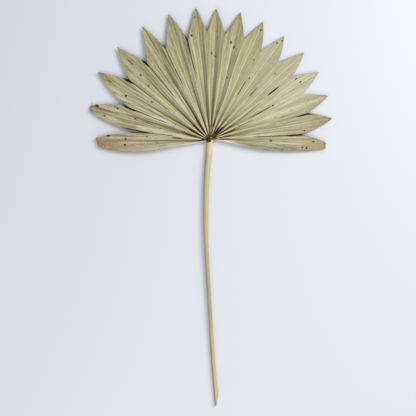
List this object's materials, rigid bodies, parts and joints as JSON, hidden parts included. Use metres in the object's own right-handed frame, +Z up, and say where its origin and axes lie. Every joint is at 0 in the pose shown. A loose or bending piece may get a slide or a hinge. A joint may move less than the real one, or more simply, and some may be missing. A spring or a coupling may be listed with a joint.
{
  "type": "dried palm leaf",
  "caption": "Dried fan palm leaf lying flat: a pleated blade cut to pointed lobes, spreading from a woody hub on a slender, gently curved cut stem. For dried flower and home decoration.",
  "frame": {"origin": "on the surface that the leaf lies on, under the middle of its length and width", "axes": "+Y from the foot of the stem to the tips of the blade, +X to the right seen from above, +Z up, out of the upper side of the leaf"},
  "size_m": [0.3652, 0.6, 0.0089],
  "materials": {
    "dried_blade": "matt",
    "dried_stem": "satin",
    "hub_crust": "rough"
  },
  "bodies": {
    "root": {"blade": "dried_blade", "stem": "dried_stem", "hastula": "hub_crust"}
  },
  "joints": []
}
